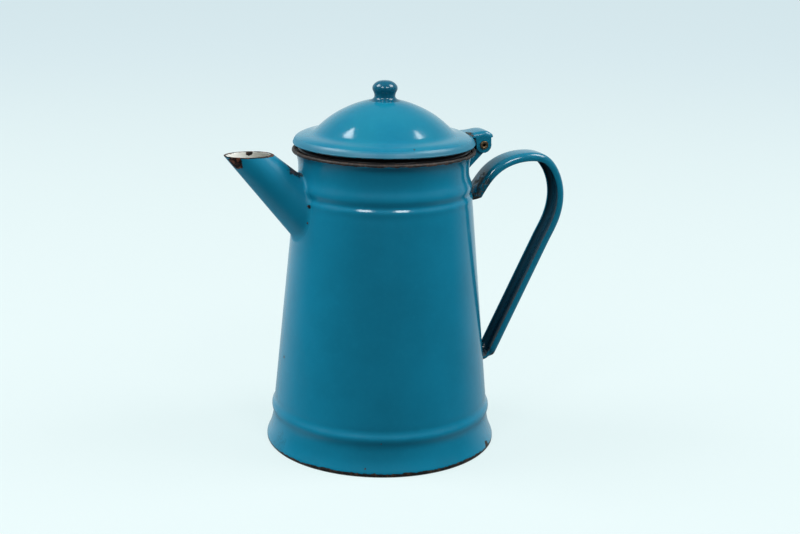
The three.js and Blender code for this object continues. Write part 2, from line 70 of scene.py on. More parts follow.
hinge = next(joint for joint in frame["joints"] if joint["name"] == "lid_hinge")
PIN = (hinge["pos_m"][0] / MM, hinge["pos_m"][2] / MM)
POT_TOP = span("pot_wall")[1].z
FOOT_RADIUS = span("pot_wall")[1].y
LID_CROWN = span("lid_shell")[1].z
KNOB_TOP = span("lid_knob")[1].z
MOUTH = span("spout")[1].z
BELL_BOTTOM = span("pump_base")[0].z
TUBE_BOTTOM, TUBE_TOP = span("pump_tube")[0].z, span("pump_tube")[1].z
RING_BOTTOM, RING_TOP = span("stop_ring")[0].z, span("stop_ring")[1].z
CAGE_BOTTOM, CAGE_TOP = span("valve_cage")[0].z, span("valve_cage")[1].z
VALVE_BOTTOM, VALVE_TOP = span("pump_valve")[0].z, span("pump_valve")[1].z
BASKET_FLOOR, BASKET_TOP = span("basket")[0].z, span("basket")[1].z
SLEEVE_BOTTOM, SLEEVE_TOP = span("basket_sleeve")[0].z, span("basket_sleeve")[1].z
SPREADER_BOTTOM = span("spreader")[0].z


# ---- Lines ----


def smooth_line(points, step=0.7):
    """A curve of continuous curvature through the points, with a point about every step."""
    p = np.array(points, float)
    t = np.concatenate([[0], np.cumsum(np.linalg.norm(np.diff(p, axis=0), axis=1))])
    h = np.diff(t)
    n = len(p)
    a = np.eye(n)
    b = np.zeros((n, p.shape[1]))
    for i in range(1, n - 1):
        a[i, i - 1 : i + 2] = h[i - 1], 2 * (h[i - 1] + h[i]), h[i]
        b[i] = 6 * ((p[i + 1] - p[i]) / h[i] - (p[i] - p[i - 1]) / h[i - 1])
    m = np.linalg.solve(a, b)
    s = np.linspace(0, t[-1], max(2, round(t[-1] / step)) + 1)
    k = np.clip(np.searchsorted(t, s, side="right") - 1, 0, n - 2)
    d = (s - t[k])[:, None]
    e = (t[k + 1] - s)[:, None]
    w = h[k][:, None]
    curve = (m[k] * e**3 + m[k + 1] * d**3) / (6 * w)
    return curve + (p[k] / w - m[k] * w / 6) * e + (p[k + 1] / w - m[k + 1] * w / 6) * d


def crowned(points, step=0.7):
    """The same for an outline that starts on the axis and crosses it level."""
    mirrored = [[-r, z] for r, z in points[3:0:-1]]
    line = smooth_line(mirrored + list(points), step)
    line = line[line[:, 0] > step / 3]
    return np.vstack([[0, points[0][1]], line])


def straight(a, b, step=4):
    count = max(1, round(math.dist(a, b) / step))
    return np.linspace(a, b, count + 1)


def arc(centre, radius, start, end, count):
    angles = np.radians(np.linspace(start, end, count + 1))
    return np.column_stack([centre[0] + radius * np.cos(angles), centre[1] + radius * np.sin(angles)])


def joined(*lines):
    """One line from several, without the doubled points where they meet."""
    line = [np.array(p, float) for part in lines for p in part]
    kept = [line[0]]
    for p in line[1:]:
        if np.linalg.norm(p - kept[-1]) > 1e-3:
            kept.append(p)
    return np.array(kept)


def offset(line, distance):
    """The line moved to its left."""
    along = np.gradient(line, axis=0)
    along /= np.linalg.norm(along, axis=1)[:, None]
    return line + distance * np.column_stack([-along[:, 1], along[:, 0]])


def rounded(corners, count=6):
    """A line with arcs at its corners, which are (x, y, radius)."""
    line = [corners[0][:2]]
    for before, (x, y, radius), after in zip(corners, corners[1:], corners[2:]):
        corner = np.array([x, y], float)
        into = np.array(before[:2]) - corner
        out = np.array(after[:2]) - corner
        into /= np.linalg.norm(into)
        out /= np.linalg.norm(out)
        half = math.acos(np.clip(into @ out, -1, 1)) / 2
        if radius == 0 or half > 1.56:
            line.append(corner)
            continue
        reach = radius / math.tan(half)
        centre = corner + (into + out) / np.linalg.norm(into + out) * radius / math.sin(half)
        first = corner + into * reach - centre
        last = corner + out * reach - centre
        for share in np.linspace(0, 1, count + 1):
            spoke = first * (1 - share) + last * share
            line.append(centre + spoke / np.linalg.norm(spoke) * radius)
    line.append(corners[-1][:2])
    return joined(line)


# ---- Meshes ----


def outward(mesh):
    """Turns every face of a closed mesh outwards."""
    grid = bmesh.new()
    grid.from_mesh(mesh)
    bmesh.ops.recalc_face_normals(grid, faces=grid.faces)
    grid.to_mesh(mesh)
    grid.free()


def mesh_piece(name, points, faces, finishes, which=None, sharp=38):
    mesh = bpy.data.meshes.new(name)
    mesh.from_pydata((np.array(points, float) * MM).tolist(), [], faces)
    for finish in finishes:
        mesh.materials.append(finish)
    if which is not None:
        mesh.polygons.foreach_set("material_index", which)
    outward(mesh)
    mesh.shade_smooth()
    mesh.set_sharp_from_angle(angle=math.radians(sharp))
    obj = bpy.data.objects.new(name, mesh)
    bpy.context.scene.collection.objects.link(obj)
    return obj


def turned(name, bands, facets=FACETS):
    """A turned piece. Its closed outline is made of bands, each a line and the finish it has."""
    outline, finish_of = [], []
    for line, finish in bands:
        for p in np.array(line, float):
            if not outline or np.linalg.norm(p - outline[-1]) > 1e-3:
                outline.append(p)
                finish_of.append(finish)
    if np.linalg.norm(outline[0] - outline[-1]) < 1e-3:
        outline.pop()
        finish_of[0] = finish_of.pop()
    finishes = list(dict.fromkeys(finish_of))
    angles = np.linspace(0, 2 * math.pi, facets, endpoint=False)
    points, rings = [], []
    for r, z in outline:
        if abs(r) < 1e-4:
            rings.append([len(points)] * facets)
            points.append((0, 0, z))
        else:
            rings.append(list(range(len(points), len(points) + facets)))
            points.extend((r * math.cos(a), r * math.sin(a), z) for a in angles)
    faces, which = [], []
    for i, here in enumerate(rings):
        there = rings[(i + 1) % len(rings)]
        if here[0] == here[1] and there[0] == there[1]:
            continue
        finish = finishes.index(finish_of[(i + 1) % len(rings)])
        for j in range(facets):
            k = (j + 1) % facets
            corners = list(dict.fromkeys([here[j], here[k], there[k], there[j]]))
            faces.append(corners)
            which.append(finish)
    return mesh_piece(name, points, faces, finishes, which)


def swept(name, path, section_at, finishes, inside=None, plumb=False):
    """A closed section carried along a path of [x, z] points. The section is [across, in], where
    in points to the right of the travel, or straight down if plumb. inside gives the span of its
    points with finish 1."""
    along = np.gradient(path, axis=0)
    along /= np.linalg.norm(along, axis=1)[:, None]
    inwards = np.column_stack([along[:, 1], -along[:, 0]])
    if plumb:
        inwards[:] = [0, -1]
    points, faces, which = [], [], []
    for i, (x, z) in enumerate(path):
        section = section_at(i / (len(path) - 1))
        for across, depth in section:
            points.append((x + inwards[i, 0] * depth, across, z + inwards[i, 1] * depth))
    m = len(section)
    for i in range(len(path) - 1):
        for j in range(m):
            k = (j + 1) % m
            faces.append((i * m + j, i * m + k, (i + 1) * m + k, (i + 1) * m + j))
            which.append(1 if inside and inside[0] <= j < inside[1] else 0)
    last = (len(path) - 1) * m
    faces.append(tuple(range(m)))
    faces.append(tuple(range(last, last + m)))
    which.extend([0, 0])
    return mesh_piece(name, points, faces, finishes, which)


def prism(name, outline, width, finish=None):
    """A flat outline of [x, z] points with a width across y."""
    n = len(outline)
    points = [(x, side * width / 2, z) for side in (-1, 1) for x, z in outline]
    faces = [tuple(range(n)), tuple(range(n, 2 * n))]
    faces += [(i, (i + 1) % n, n + (i + 1) % n, n + i) for i in range(n)]
    return mesh_piece(name, points, faces, [finish] if finish else [])


def rod(start, end, radius, sides):
    """A plain rod between two points."""
    a, b = np.array(start, float), np.array(end, float)
    axis = Vector(b - a).normalized()
    turn = np.array(Vector((0, 0, 1)).rotation_difference(axis).to_matrix())
    angles = np.linspace(0, 2 * math.pi, sides, endpoint=False)
    ring = np.column_stack([np.cos(angles), np.sin(angles), 0 * angles]) * radius @ turn.T
    points = np.vstack([a + ring, b + ring])
    faces = [(i, (i + 1) % sides, sides + (i + 1) % sides, sides + i) for i in range(sides)]
    faces += [tuple(range(sides)), tuple(range(sides, 2 * sides))]
    return points, faces


def rods(name, spans, radius, sides):
    """Plain rods in one mesh, each from its start to its end."""
    points, faces = [], []
    for start, end in spans:
        p, f = rod(start, end, radius, sides)
        faces += [tuple(i + len(points) for i in face) for face in f]
        points += p.tolist()
    return mesh_piece(name, points, faces, [])


def applied(obj):
    """Gives obj the mesh that its modifiers make."""
    bpy.context.view_layer.update()
    graph = bpy.context.evaluated_depsgraph_get()
    made = bpy.data.meshes.new_from_object(obj.evaluated_get(graph))
    obj.modifiers.clear()
    obj.data = made
    return obj


def combined(obj, other, operation):
    change = obj.modifiers.new("change", "BOOLEAN")
    change.operation = operation
    change.solver = "EXACT"
    change.object = other
    applied(obj)
    bpy.data.objects.remove(other)
    return obj


def cut(obj, cutter):
    """Takes the cutter out of obj, and removes the cutter."""
    return combined(obj, cutter, "DIFFERENCE")


def softened(obj, voxel, rounds, finish):
    """Remeshes a small solid evenly and rounds its edges, as a coat of enamel does."""
    remesh = obj.modifiers.new("remesh", "REMESH")
    remesh.mode = "VOXEL"
    remesh.voxel_size = voxel * MM
    relax = obj.modifiers.new("relax", "SMOOTH")
    relax.factor = 0.5
    relax.iterations = rounds
    applied(obj)
    obj.data.materials.clear()
    obj.data.materials.append(finish)
    obj.data.shade_smooth()
    return obj


def fit(obj, body, slot, *nodes):
    """Puts a finished piece on its CAD body in place of its CAD nodes."""
    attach(obj, body)
    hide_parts(*nodes)
    return obj


# ---- Finishes ----


class Finish:
    """A procedural material whose patterns are sized and placed in millimetres of the row frame."""

    def __init__(self, name):
        self.material = bpy.data.materials.new(name)
        self.material.use_nodes = True
        self.tree = self.material.node_tree
        self.shader = self.tree.nodes["Principled BSDF"]
        coordinates = self.tree.nodes.new("ShaderNodeTexCoord")
        self.place = self.vector("SCALE", coordinates.outputs["Object"], scale=1 / MM)
        x, y, z = self.split(self.place)
        self.x, self.y, self.z = x, y, z

    def node(self, kind, **settings):
        made = self.tree.nodes.new(kind)
        for key, value in settings.items():
            setattr(made, key, value)
        return made

    def feed(self, socket, value):
        if isinstance(value, bpy.types.NodeSocket):
            self.tree.links.new(value, socket)
        else:
            socket.default_value = value

    def vector(self, operation, a, b=None, scale=None):
        made = self.node("ShaderNodeVectorMath", operation=operation)
        self.feed(made.inputs[0], a)
        if b is not None:
            self.feed(made.inputs[1], b)
        if scale is not None:
            self.feed(made.inputs["Scale"], scale)
        return made.outputs["Value" if operation in ("LENGTH", "DISTANCE") else "Vector"]

    def split(self, vector):
        made = self.node("ShaderNodeSeparateXYZ")
        self.feed(made.inputs[0], vector)
        return made.outputs[0], made.outputs[1], made.outputs[2]

    def merge(self, x, y, z):
        made = self.node("ShaderNodeCombineXYZ")
        for socket, value in zip(made.inputs, (x, y, z)):
            self.feed(socket, value)
        return made.outputs[0]

    def math(self, operation, a, b=0.0):
        made = self.node("ShaderNodeMath", operation=operation)
        self.feed(made.inputs[0], a)
        self.feed(made.inputs[1], b)
        return made.outputs[0]

    def ramp(self, value, low, high, out_low=0.0, out_high=1.0):
        """Turns value smoothly from out_low to out_high between low and high."""
        made = self.node("ShaderNodeMapRange", interpolation_type="SMOOTHSTEP")
        for socket, given in zip(made.inputs, (value, low, high, out_low, out_high)):
            self.feed(socket, given)
        return made.outputs[0]

    def noise(self, size, detail, roughness=0.5, at=None):
        """Noise from 0 to 1 whose features are about size across."""
        made = self.node("ShaderNodeTexNoise")
        self.feed(made.inputs["Vector"], self.place if at is None else at)
        made.inputs["Scale"].default_value = 1 / size
        made.inputs["Detail"].default_value = detail
        made.inputs["Roughness"].default_value = roughness
        return made.outputs["Fac"]

    def mix(self, share, a, b):
        made = self.node("ShaderNodeMix", data_type="RGBA")
        self.feed(made.inputs[0], share)
        self.feed(made.inputs[6], (*a, 1) if isinstance(a, tuple) else a)
        self.feed(made.inputs[7], (*b, 1) if isinstance(b, tuple) else b)
        return made.outputs[2]

    def blend(self, share, a, b):
        """The same for numbers."""
        made = self.node("ShaderNodeMix", data_type="FLOAT")
        self.feed(made.inputs[0], share)
        self.feed(made.inputs[2], a)
        self.feed(made.inputs[3], b)
        return made.outputs[0]

    def either(self, *masks):
        whole = masks[0]
        for mask in masks[1:]:
            whole = self.math("MAXIMUM", whole, mask)
        return whole

    def chip(self, centre, radius, ragged=0.5, size=None):
        """1 on an irregular spot round a point, 0 away from it."""
        away = self.vector("DISTANCE", self.place, centre)
        uneven = self.math("SUBTRACT", self.noise(size or radius * 0.8, 3), 0.5)
        uneven = self.math("MULTIPLY", uneven, 2 * radius * ragged)
        away = self.math("ADD", away, uneven)
        return self.ramp(away, radius * 0.85, radius * 1.15, 1.0, 0.0)

    def bump(self, height):
        """height is in millimetres."""
        made = self.node("ShaderNodeBump")
        made.inputs["Strength"].default_value = 1
        made.inputs["Distance"].default_value = MM
        self.feed(made.inputs["Height"], height)
        self.feed(self.shader.inputs["Normal"], made.outputs[0])

    def colour(self, value):
        self.feed(self.shader.inputs["Base Color"], value)

    def rough(self, value):
        self.feed(self.shader.inputs["Roughness"], value)


TEAL = (0.004, 0.165, 0.272)
TEAL_DEEP = (0.0035, 0.148, 0.244)
TEAL_PALE = (0.010, 0.20, 0.31)
# Painted light: the spout's teal is the pot's enamel made lighter, to make up for the weaker
# reflection it is given.
SPOUT_LIT_TEAL = (0.005, 0.178, 0.290)
LID_TEAL = (0.006, 0.165, 0.250)
DARK_TEAL = (0.004, 0.142, 0.228)
DARK_TEAL_DEEP = (0.003, 0.122, 0.196)
KNOB_TEAL = (0.003, 0.084, 0.142)
KNOB_TEAL_DEEP = (0.002, 0.070, 0.118)
# Painted shade: a darker copy of the handle's teal for the inside of its channel, which is in shade.
SHADED_TEAL = (0.005, 0.040, 0.066)
SHADED_TEAL_DEEP = (0.004, 0.026, 0.045)
SHADED_TEAL_PALE = (0.010, 0.070, 0.10)
IRON = (0.006, 0.0055, 0.005)
RUST = (0.060, 0.030, 0.017)
SPOUT_RUST = (0.14, 0.05, 0.028)
HANDLE_RUST = (0.075, 0.05, 0.025)
WHITE = (0.74, 0.75, 0.71)
WHITE_DEEP = (0.66, 0.66, 0.60)
WHITE_PALE = (0.80, 0.81, 0.79)
# Painted shade: near-black for the lid's collar, so that the gap between the lid and the rim reads as
# shadow.
GAP_SHADE_BLACK = (0.010, 0.010, 0.011)
GAP_SHADE_BLACK_PALE = (0.02, 0.018, 0.016)
ENAMEL_IOR = 1.52
WORN_ROUGHNESS = 0.55
RUBBED_ROUGHNESS = 0.42


def enamel(
    name, base=TEAL, deep=TEAL_DEEP, pale=TEAL_PALE, worn=None, gloss=0.1, wave=0.07, matt=None,
    rust=RUST, shine=0.5,
):
    """Vitreous enamel over steel. worn(finish) gives a mask of where it has gone to bare iron, and
    matt(finish) one of where its gloss is rubbed off. wave is the height of its unevenness, and
    shine how strongly it reflects."""
    f = Finish(name)
    cloud = f.noise(38, 3, 0.55)
    mottle = f.noise(3.2, 4, 0.6)
    colour = f.mix(f.ramp(cloud, 0.3, 0.7), deep, base)
    colour = f.mix(f.ramp(mottle, 0.45, 0.8, 0.0, 0.16), colour, pale)
    specks = f.ramp(f.noise(0.9, 1), 0.72, 0.8)
    colour = f.mix(f.math("MULTIPLY", specks, 0.3), colour, deep)
    grime = f.ramp(f.noise(11, 4, 0.65), 0.35, 0.75)
    rough = f.blend(grime, gloss, gloss + 0.07)
    if matt:
        rough = f.blend(matt(f), rough, RUBBED_ROUGHNESS)
    waves = f.math("MULTIPLY", f.noise(17, 1), wave)
    peel = f.math("MULTIPLY", f.noise(2.6, 2), 0.006)
    pinholes = f.math("MULTIPLY", f.ramp(f.noise(1.6, 0), 0.8, 0.86), -0.02)
    height = f.math("ADD", f.math("ADD", waves, peel), pinholes)
    if worn:
        wear = worn(f)
        thin = f.ramp(wear, 0.12, 0.5)
        bare = f.ramp(wear, 0.45, 0.62)
        colour = f.mix(f.math("MULTIPLY", thin, 0.75), colour, tuple(0.35 * c for c in deep))
        rusted = f.ramp(f.noise(2.4, 4, 0.7), 0.46, 0.66)
        colour = f.mix(bare, colour, f.mix(rusted, IRON, rust))
        rough = f.blend(bare, rough, WORN_ROUGHNESS)
        pits = f.math("MULTIPLY", f.noise(0.7, 3), 0.05)
        sunk = f.math("SUBTRACT", f.math("MULTIPLY", pits, bare), f.math("MULTIPLY", bare, 0.14))
        height = f.math("ADD", height, sunk)
    f.colour(colour)
    f.rough(rough)
    f.bump(height)
    f.shader.inputs["IOR"].default_value = ENAMEL_IOR
    f.shader.inputs["Specular IOR Level"].default_value = shine
    return f.material


# Where the marks that more than one finish shares are centred.
SEAM_CHIP = (-51.1, -19.1, 155.0)
SEAM_CHIP_LOW = (-52.1, -19.3, 145.4)
LIP_CHIP = (-81.0, 10.2, 183.0)


def pot_wear(f):
    """Bare along the foot and the rim, with nicks, a stained patch at the foot and faint stains."""
    fray = f.math("SUBTRACT", f.noise(5, 4, 0.65), 0.5)
    fine = f.math("SUBTRACT", f.noise(1.3, 3, 0.6), 0.5)
    front = f.ramp(f.y, 10.0, -66.0)
    foot_line = f.math("ADD", f.math("MULTIPLY", front, 0.9), 1.6)
    foot_height = f.math("SUBTRACT", f.z, f.math("MULTIPLY", fray, 3.2))
    foot_height = f.math("SUBTRACT", foot_height, foot_line)
    foot = f.ramp(foot_height, -0.5, 0.5, 1.0, 0.0)
    rim = f.ramp(f.math("ADD", f.z, f.math("MULTIPLY", fray, 2.2)), 182.9, 183.9)
    foot_chip = f.chip((56.0, -44.0, 3.2), 2.4, 0.8)
    seam = f.chip(SEAM_CHIP, 1.0)
    seam_low = f.chip(SEAM_CHIP_LOW, 0.7)
    spot = f.chip((-63.7, -5.0, 58.1), 0.9, 0.3)
    nick = f.chip((-19.1, -65.7, 20.3), 0.45)
    foot_nick = f.chip((-28.5, -64.8, 5.1), 0.6)
    near = f.math("MULTIPLY", f.chip((-68.8, -15.0, 4.4), 8.0, 0.9, 3.0), 0.26)
    near = f.math("MULTIPLY", near, f.math("ADD", f.math("MULTIPLY", fine, 2.4), 0.9))
    stains = f.math("MULTIPLY", f.ramp(f.noise(7, 5, 0.7), 0.69, 0.76), 0.22)
    return f.either(foot, foot_chip, rim, seam, seam_low, spot, nick, foot_nick, near, stains)


def spout_wear(f):
    fray = f.math("SUBTRACT", f.noise(1.6, 3, 0.6), 0.5)
    lip = f.ramp(f.math("ADD", f.z, f.math("MULTIPLY", fray, 0.9)), MOUTH - 0.7, MOUTH - 0.4)
    chip = f.chip((-92.0, -6.5, 180.6), 4.6, 0.6)
    seam = f.chip(SEAM_CHIP, 1.3, 0.7)
    seam_low = f.chip(SEAM_CHIP_LOW, 0.9)
    far_chip = f.chip(LIP_CHIP, 1.9, 0.5)
    root = f.math("MULTIPLY", f.chip((-58.0, -3.0, 171.5), 7.0, 0.9, 2.5), 0.56)
    return f.either(lip, chip, far_chip, seam, seam_low, root)


def handle_wear(f):
    """Burnt round the upper root and the foot, with bare spots at their corners."""
    root = f.ramp(f.vector("DISTANCE", f.place, (57.0, -3.0, 159.0)), 25.0, 8.0, 0.0, 0.62)
    root = f.math("MULTIPLY", root, f.ramp(f.noise(5, 4, 0.7), 0.25, 0.6))
    end = f.chip((55.0, -7.0, 151.0), 3.4, 0.8)
    corner = f.chip((74.1, -7.5, 48.6), 2.2, 0.8)
    tip = f.chip((66.0, -8.0, 46.0), 1.4, 0.7)
    blotches = f.ramp(f.noise(3, 4, 0.7), 0.4, 0.65, 0.0, 0.45)
    burn = f.math("MULTIPLY", f.ramp(f.z, 62.0, 50.0), blotches)
    specks = f.math("MULTIPLY", f.ramp(f.noise(1.8, 4, 0.65), 0.66, 0.74), 0.2)
    return f.either(root, end, corner, tip, burn, specks)


def lid_edge(f):
    """The lower part of the lid's flange."""
    return f.ramp(f.z, 193.6, 190.6)


def lid_wear(f):
    fray = f.math("SUBTRACT", f.noise(3, 3, 0.6), 0.5)
    edge = f.ramp(f.math("ADD", f.z, f.math("MULTIPLY", fray, 1.2)), 188.6, 187.9)
    speck = f.chip((2.2, -51.7, 192.6), 0.6, 0.3)
    stains = f.math("MULTIPLY", f.ramp(f.noise(5, 5, 0.7), 0.69, 0.75), 0.25)
    return f.either(edge, speck, stains)


def hinge_wear(f):
    fray = f.noise(1.5, 4, 0.65)
    tail = f.ramp(f.x, 66.6, 67.8)
    root = f.chip((50.5, -7.0, 192.5), 3.6, 0.9, 1.6)
    ring = f.vector("DISTANCE", f.merge(f.x, 0.0, f.z), (PIN[0], 0.0, PIN[1]))
    ring = f.ramp(f.math("ADD", ring, f.math("MULTIPLY", fray, 1.2)), 3.6, 3.0)
    rubbed = f.math("MULTIPLY", f.ramp(fray, 0.64, 0.74), 0.25)
    return f.either(tail, root, ring, rubbed)


def collar_wear(f):
    return f.math("MULTIPLY", f.ramp(f.noise(4, 5, 0.7), 0.55, 0.7), 0.6)


def inside_wear(f):
    return f.ramp(f.noise(6, 5, 0.7), 0.73, 0.78)


def white_wear(f):
    fray = f.math("SUBTRACT", f.noise(2.2, 3, 0.6), 0.5)
    rim = f.ramp(f.math("ADD", f.z, f.math("MULTIPLY", fray, 1.6)), 183.4, 184.0)
    lip_chip = f.chip(LIP_CHIP, 1.9, 0.5)
    specks = f.ramp(f.noise(4, 5, 0.75), 0.745, 0.775)
    return f.either(rim, lip_chip, specks)


def metal(name, base, tarnish, rough=0.3, spun=True):
    """Bare metal with turning marks about the axis and dull patches."""
    f = Finish(name)
    dull = f.ramp(f.noise(9, 5, 0.65), 0.4, 0.7)
    spots = f.ramp(f.noise(1.7, 3, 0.6), 0.66, 0.74, 0.0, 0.6)
    colour = f.mix(f.math("MULTIPLY", dull, 0.55), base, tarnish)
    colour = f.mix(spots, colour, tarnish)
    height = f.math("MULTIPLY", f.noise(0.8, 2), 0.004)
    if spun:
        radius = f.vector("LENGTH", f.merge(f.x, f.y, 0.0))
        marks = f.noise(0.5, 2, at=f.merge(radius, 0.0, f.z))
        height = f.math("ADD", height, f.math("MULTIPLY", marks, 0.006))
    f.colour(colour)
    f.rough(f.blend(dull, rough, rough + 0.22))
    f.bump(height)
    f.shader.inputs["Metallic"].default_value = 1
    return f.material


pot_enamel = enamel("pot_enamel", worn=pot_wear)
pan_enamel = enamel("pan_enamel", worn=inside_wear)
# The spout's lighter teal is painted light that stands in for its weaker reflection.
spout_enamel = enamel(
    "spout_enamel", SPOUT_LIT_TEAL, worn=spout_wear, gloss=0.3, rust=SPOUT_RUST, shine=0.12
)
handle_enamel = enamel(
    "handle_enamel", DARK_TEAL, DARK_TEAL_DEEP, worn=handle_wear, rust=HANDLE_RUST
)
# The inside of the handle's channel is painted darker, as painted shade for the shade in it.
handle_inside_painted_shade = enamel("handle_inside_painted_shade", SHADED_TEAL, SHADED_TEAL_DEEP, SHADED_TEAL_PALE, worn=inside_wear, gloss=0.2)
lid_enamel = enamel("lid_enamel", LID_TEAL, worn=lid_wear, matt=lid_edge)
knob_enamel = enamel("knob_enamel", KNOB_TEAL, KNOB_TEAL_DEEP, DARK_TEAL, gloss=0.14, wave=0.02)
hinge_enamel = enamel(
    "hinge_enamel", DARK_TEAL, DARK_TEAL_DEEP, worn=hinge_wear, gloss=0.16, wave=0.02
)
white_enamel = enamel("white_enamel", WHITE, WHITE_DEEP, WHITE_PALE, worn=white_wear)
lid_white = enamel("lid_white", WHITE, WHITE_DEEP, WHITE_PALE, worn=inside_wear)
# The collar's near-black is painted shade for the gap under the lid's edge.
collar_shade_black = enamel("collar_shade_black", GAP_SHADE_BLACK, GAP_SHADE_BLACK, GAP_SHADE_BLACK_PALE, worn=collar_wear, gloss=0.3)
aluminium = metal("aluminium", (0.78, 0.79, 0.80), (0.45, 0.45, 0.45))
steel = metal("steel", (0.6, 0.6, 0.6), (0.32, 0.31, 0.30))
brass = metal("brass", (0.30, 0.21, 0.11), (0.09, 0.07, 0.05), 0.38, spun=False)


# ---- Pot wall and bottom ----


CONE_FOOT, CONE_TAPER = 69.55, 0.0965


def cone_radius(height):
    return CONE_FOOT - CONE_TAPER * height


POT_FOOT = smooth_line(
    [
        [71.1, 0.0], [FOOT_RADIUS - 0.1, 0.9], [FOOT_RADIUS - 0.1, 2.6], [71.1, 4.6], [69.4, 9.0],
        [68.35, 13.5], [67.95, 16.6], [68.15, 18.8], [68.7, 21.2], [68.6, 23.0], [67.6, 25.0],
        [cone_radius(26.8), 26.8], [cone_radius(29.0), 29.0], [cone_radius(33.0), 33.0],
    ],
    0.45,
)
POT_FOOT[:, 0] = np.minimum(POT_FOOT[:, 0], FOOT_RADIUS - 0.03)
POT_NECK = smooth_line(
    [
        [cone_radius(150.0), 150.0], [cone_radius(154.0), 154.0], [cone_radius(156.8), 156.8],
        [53.5, 158.6], [53.6, 160.2], [54.1, 162.4], [53.8, 164.9], [52.7, 168.0], [52.15, 171.5],
        [52.2, 176.0], [52.8, 179.8], [53.9, 182.4],
    ],
    0.45,
)
RIM_ROLL = 1.3
RIM_CENTRE = (54.6, POT_TOP - RIM_ROLL)

POT_OUTSIDE = joined(POT_FOOT, straight(POT_FOOT[-1], POT_NECK[0]), POT_NECK)
POT_INSIDE = offset(POT_OUTSIDE, SHEET)[::-1]
POT_RIM = arc(RIM_CENTRE, RIM_ROLL, -80, 150, 24)


def wall_radius(height):
    return np.interp(height, POT_OUTSIDE[:, 1], POT_OUTSIDE[:, 0])


# ---- Spout ----

SPOUT_ROOT = np.array([-54.7, 0.0, 153.7])
SPOUT_LEAN = math.radians(45.3)
SPOUT_OUT = np.array([-math.sin(SPOUT_LEAN), 0.0, math.cos(SPOUT_LEAN)])
SPOUT_UP = np.array([math.cos(SPOUT_LEAN), 0.0, math.sin(SPOUT_LEAN)])
SPOUT_ACROSS = np.array([0.0, 1.0, 0.0])
SPOUT_WIDE, SPOUT_WIDE_TAPER = 18.9, 0.186
SPOUT_HIGH, SPOUT_HIGH_TAPER = 15.07, 0.113
SPOUT_SIDES = 192
SPOUT_WITHIN, SPOUT_BEYOND = -16.0, 62.0
POUR_HOLE_INSET = 5.2


def spout_halves(along, inset):
    """Half the spout's width and half its height."""
    wide = SPOUT_WIDE - SPOUT_WIDE_TAPER * along - inset
    high = SPOUT_HIGH - SPOUT_HIGH_TAPER * along - inset
    return wide, high


def spout_point(along, angle, inset=0.0):
    wide, high = spout_halves(along, inset)
    across = wide * math.cos(angle) * SPOUT_ACROSS
    return SPOUT_ROOT + along * SPOUT_OUT + across + high * math.sin(angle) * SPOUT_UP


def past_wall(p):
    return math.hypot(p[0], p[1]) - wall_radius(p[2])


def past_mouth(p):
    return p[2] - (MOUTH - SHEET / 2)


def crossing(angle, inset, test):
    """How far along the spout a line of its surface passes a test that is negative nearer the pot."""
    inner, outer = SPOUT_WITHIN, SPOUT_BEYOND
    for _ in range(40):
        middle = (inner + outer) / 2
        if test(spout_point(middle, angle, inset)) < 0:
            inner = middle
        else:
            outer = middle
    return (inner + outer) / 2


def spout():
    """Outside with a fillet that runs out onto the wall, a rounded lip, and the inside."""
    fillet, spread, sunk = 3.2, 2.6, 0.04
    fillet_points, outside_points, lip_points, inside_points = 9, 30, 9, 24
    blue_on_lip = 5
    rings = []
    for i in range(SPOUT_SIDES):
        angle = 2 * math.pi * i / SPOUT_SIDES
        line = []
        start = crossing(angle, 0, past_wall)
        end = crossing(angle, 0, past_mouth)
        root = spout_point(start, angle)
        radial = np.array([root[0], root[1], 0.0]) / math.hypot(root[0], root[1])
        away = math.cos(angle) * SPOUT_ACROSS * SPOUT_HIGH + math.sin(angle) * SPOUT_UP * SPOUT_WIDE
        away -= away @ radial * radial
        landing = root + spread * away / np.linalg.norm(away)
        landing[:2] *= (wall_radius(landing[2]) - sunk) / math.hypot(landing[0], landing[1])
        leaving = spout_point(start + fillet, angle)
        for t in np.linspace(0, 1, fillet_points):
            line.append((1 - t) ** 2 * landing + 2 * t * (1 - t) * root + t * t * leaving)
        for s in np.linspace(start + fillet, end, outside_points)[1:]:
            line.append(spout_point(s, angle))
        inner_end = crossing(angle, SHEET, past_mouth)
        outer_lip, inner_lip = line[-1], spout_point(inner_end, angle, SHEET)
        middle, half = (outer_lip + inner_lip) / 2, (outer_lip - inner_lip) / 2
        up = SPOUT_OUT * (SHEET / 2 / SPOUT_OUT[2])
        for turn in np.radians(np.linspace(0, 180, lip_points))[1:-1]:
            line.append(middle + half * math.cos(turn) + up * math.sin(turn))
        inner_start = crossing(angle, SHEET, past_wall)
        for s in np.linspace(inner_end, inner_start, inside_points):
            line.append(spout_point(s, angle, SHEET))
        rings.append(line)
    m = len(rings[0])
    first_white = fillet_points + outside_points - 1 + blue_on_lip
    points = [p for line in rings for p in line]
    faces, which = [], []
    for i in range(SPOUT_SIDES):
        k = (i + 1) % SPOUT_SIDES
        for j in range(m):
            n = (j + 1) % m
            faces.append((i * m + j, k * m + j, k * m + n, i * m + n))
            which.append(1 if j >= first_white else 0)
    return mesh_piece("spout_shell", points, faces, [spout_enamel, white_enamel], which, 50)


def spout_cutter(inset):
    """A plug of the spout's shape, to cut the pour hole with."""
    sides = 96
    angles = [2 * math.pi * i / sides for i in range(sides)]
    points = [spout_point(s, a, inset) for s in (SPOUT_WITHIN, -SPOUT_WITHIN) for a in angles]
    faces = [(i, (i + 1) % sides, sides + (i + 1) % sides, sides + i) for i in range(sides)]
    faces += [tuple(range(sides)), tuple(range(sides, 2 * sides))]
    return mesh_piece("cutter", points, faces, [white_enamel])


